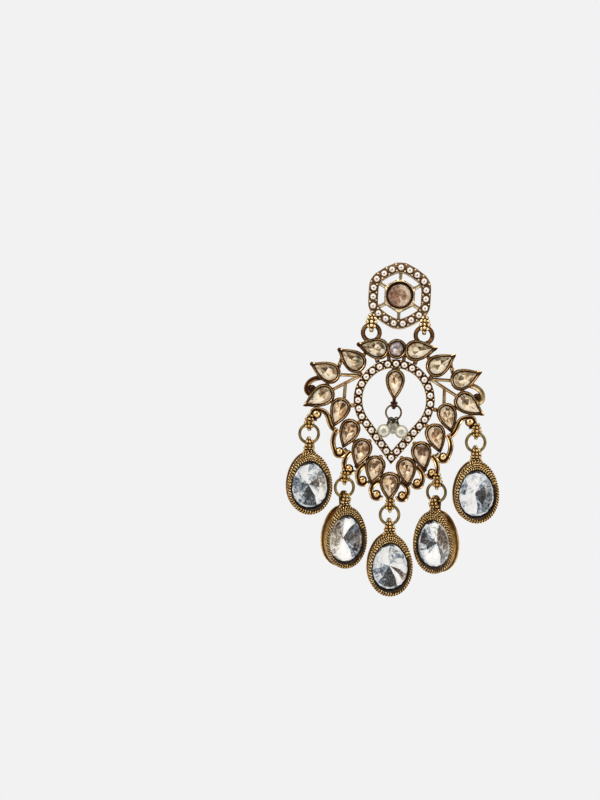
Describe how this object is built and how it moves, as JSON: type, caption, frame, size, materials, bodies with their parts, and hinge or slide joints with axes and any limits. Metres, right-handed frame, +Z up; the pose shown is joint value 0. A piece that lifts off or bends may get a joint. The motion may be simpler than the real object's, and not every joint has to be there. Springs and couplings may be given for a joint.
{
  "type": "chandbali earring",
  "caption": "Chandbali drop earring: pearl-rimmed stud, pierced leaf plate with pear stones round a pearl teardrop, pearl cluster and crystal drops on jump rings.",
  "frame": {"origin": "centre of the stud's post foot, where the earring meets the ear", "axes": "+Z up as worn, the front faces -Y, the ear post points along +Y"},
  "size_m": [0.0479, 0.0164, 0.0743],
  "materials": {
    "antique_gold": "cast, plated and antiqued",
    "post_metal": "plain drawn wire, polished",
    "champagne_stone": "faceted, foiled behind",
    "clear_crystal": "faceted, foiled behind",
    "pearl": "imitation pearl, satin lustre"
  },
  "bodies": {
    "stud": {"stud_frame": "antique_gold", "stud_stone": "champagne_stone", "stud_pearls": "pearl", "ear_post": "post_metal"},
    "plate": {"plate_frame": "antique_gold", "plate_pearls": "pearl", "top_stone": "champagne_stone", "centre_stone": "champagne_stone", "foot_stone": "champagne_stone", "centre_ring": "antique_gold", "petal_stone_left_1": "champagne_stone", "petal_stone_left_2": "champagne_stone", "petal_stone_left_3": "champagne_stone", "petal_stone_left_4": "champagne_stone", "petal_stone_right_1": "champagne_stone", "petal_stone_right_2": "champagne_stone", "petal_stone_right_3": "champagne_stone", "petal_stone_right_4": "champagne_stone", "scallop_stone_left_1": "champagne_stone", "scallop_stone_left_2": "champagne_stone", "scallop_stone_left_3": "champagne_stone", "scallop_stone_left_4": "champagne_stone", "scallop_stone_right_1": "champagne_stone", "scallop_stone_right_2": "champagne_stone", "scallop_stone_right_3": "champagne_stone", "scallop_stone_right_4": "champagne_stone", "cluster_pin_1": "antique_gold", "cluster_pearl_1": "pearl", "cluster_pin_2": "antique_gold", "cluster_pearl_2": "pearl", "cluster_pin_3": "antique_gold", "cluster_pearl_3": "pearl"},
    "drop_1": {"jump_ring_1": "antique_gold", "drop_setting_1": "antique_gold", "crystal_1": "clear_crystal"},
    "drop_2": {"jump_ring_2": "antique_gold", "drop_setting_2": "antique_gold", "crystal_2": "clear_crystal"},
    "drop_3": {"jump_ring_3": "antique_gold", "drop_setting_3": "antique_gold", "crystal_3": "clear_crystal"},
    "drop_4": {"jump_ring_4": "antique_gold", "drop_setting_4": "antique_gold", "crystal_4": "clear_crystal"},
    "drop_5": {"jump_ring_5": "antique_gold", "drop_setting_5": "antique_gold", "crystal_5": "clear_crystal"}
  },
  "joints": [
    {"name": "plate_swing", "type": "hinge", "parent": "stud", "child": "plate", "pos_m": [0, -0.0014, -0.00668], "axis": [1, 0, 0], "range_deg": [-60, 30]},
    {"name": "drop_1_swing", "type": "hinge", "parent": "plate", "child": "drop_1", "pos_m": [-0.0186, -0.0014, -0.0297], "axis": [1, 0, 0], "range_deg": [-45, 45]},
    {"name": "drop_2_swing", "type": "hinge", "parent": "plate", "child": "drop_2", "pos_m": [-0.0101, -0.0014, -0.0413], "axis": [1, 0, 0], "range_deg": [-45, 45]},
    {"name": "drop_3_swing", "type": "hinge", "parent": "plate", "child": "drop_3", "pos_m": [0.0003, -0.0014, -0.0469], "axis": [1, 0, 0], "range_deg": [-45, 45]},
    {"name": "drop_4_swing", "type": "hinge", "parent": "plate", "child": "drop_4", "pos_m": [0.0105, -0.0014, -0.0413], "axis": [1, 0, 0], "range_deg": [-45, 45]},
    {"name": "drop_5_swing", "type": "hinge", "parent": "plate", "child": "drop_5", "pos_m": [0.0187, -0.0014, -0.0297], "axis": [1, 0, 0], "range_deg": [-45, 45]}
  ]
}
